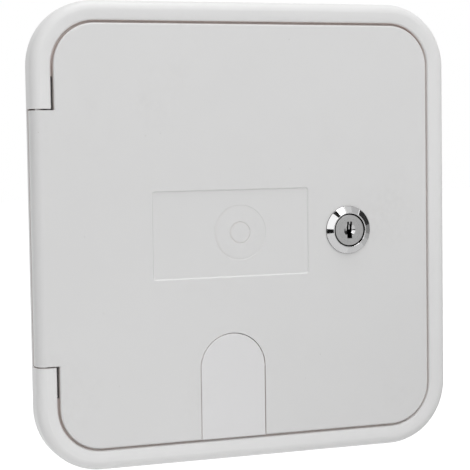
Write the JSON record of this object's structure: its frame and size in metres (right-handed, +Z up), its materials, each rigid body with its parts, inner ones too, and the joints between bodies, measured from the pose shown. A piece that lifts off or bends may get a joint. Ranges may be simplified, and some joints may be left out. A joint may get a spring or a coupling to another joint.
{
  "type": "caravan power inlet hatch",
  "caption": "Wall-mounted hatch for a caravan mains inlet: rolled frame, side-hinged lid with cam lock and arched cable flap, recessed tub with a round shrouded inlet behind it.",
  "frame": {"origin": "middle of the wall flange, on the plane where it meets the wall", "axes": "+X right seen from the front, +Y into the wall, +Z up; the lid faces -Y"},
  "size_m": [0.18, 0.1224, 0.187],
  "materials": {
    "white_plastic": "satin moulded",
    "seal_rubber": "matt black",
    "hinge_steel": "drawn",
    "housing_plastic": "fine grain",
    "inlet_plastic": "blue moulded",
    "carrier_plastic": "dark grey",
    "contact_metal": "nickel plated",
    "cover_plastic": "blue moulded",
    "gland_plastic": "grey moulded",
    "lock_chrome": "polished",
    "lock_satin": "satin",
    "lock_zinc": "zinc plated"
  },
  "bodies": {
    "fixed_frame": {"frame": "white_plastic", "lid_seal": "seal_rubber", "hinge_pin": "hinge_steel", "recess_housing": "housing_plastic", "inlet_gasket": "seal_rubber", "inlet_body": "inlet_plastic", "contact_carrier": "carrier_plastic", "contact_pin_line": "contact_metal", "contact_pin_neutral": "contact_metal", "contact_pin_earth": "contact_metal", "terminal_cover": "cover_plastic", "cable_gland": "gland_plastic", "gland_nut": "gland_plastic"},
    "hinged_lid": {"lid": "white_plastic", "lock_housing": "lock_chrome", "lock_nut": "lock_zinc"},
    "turning_lock": {"lock_plug": "lock_satin", "lock_cam": "lock_zinc", "cam_nut": "lock_zinc"},
    "swinging_flap": {"cable_flap": "white_plastic"}
  },
  "joints": [
    {"name": "lid_hinge", "type": "hinge", "parent": "fixed_frame", "child": "hinged_lid", "pos_m": [-0.0864, -0.006, 0], "axis": [0, 0, -1], "range_deg": [0, 150]},
    {"name": "key_turn", "type": "hinge", "parent": "hinged_lid", "child": "turning_lock", "pos_m": [0.044, -0.0096, -0.0008], "axis": [0, -1, 0], "range_deg": [0, 90]},
    {"name": "flap_swing", "type": "hinge", "parent": "hinged_lid", "child": "swinging_flap", "pos_m": [-0.0082, -0.0082, -0.0554], "axis": [-1, 0, 0], "range_deg": [0, 85]}
  ]
}
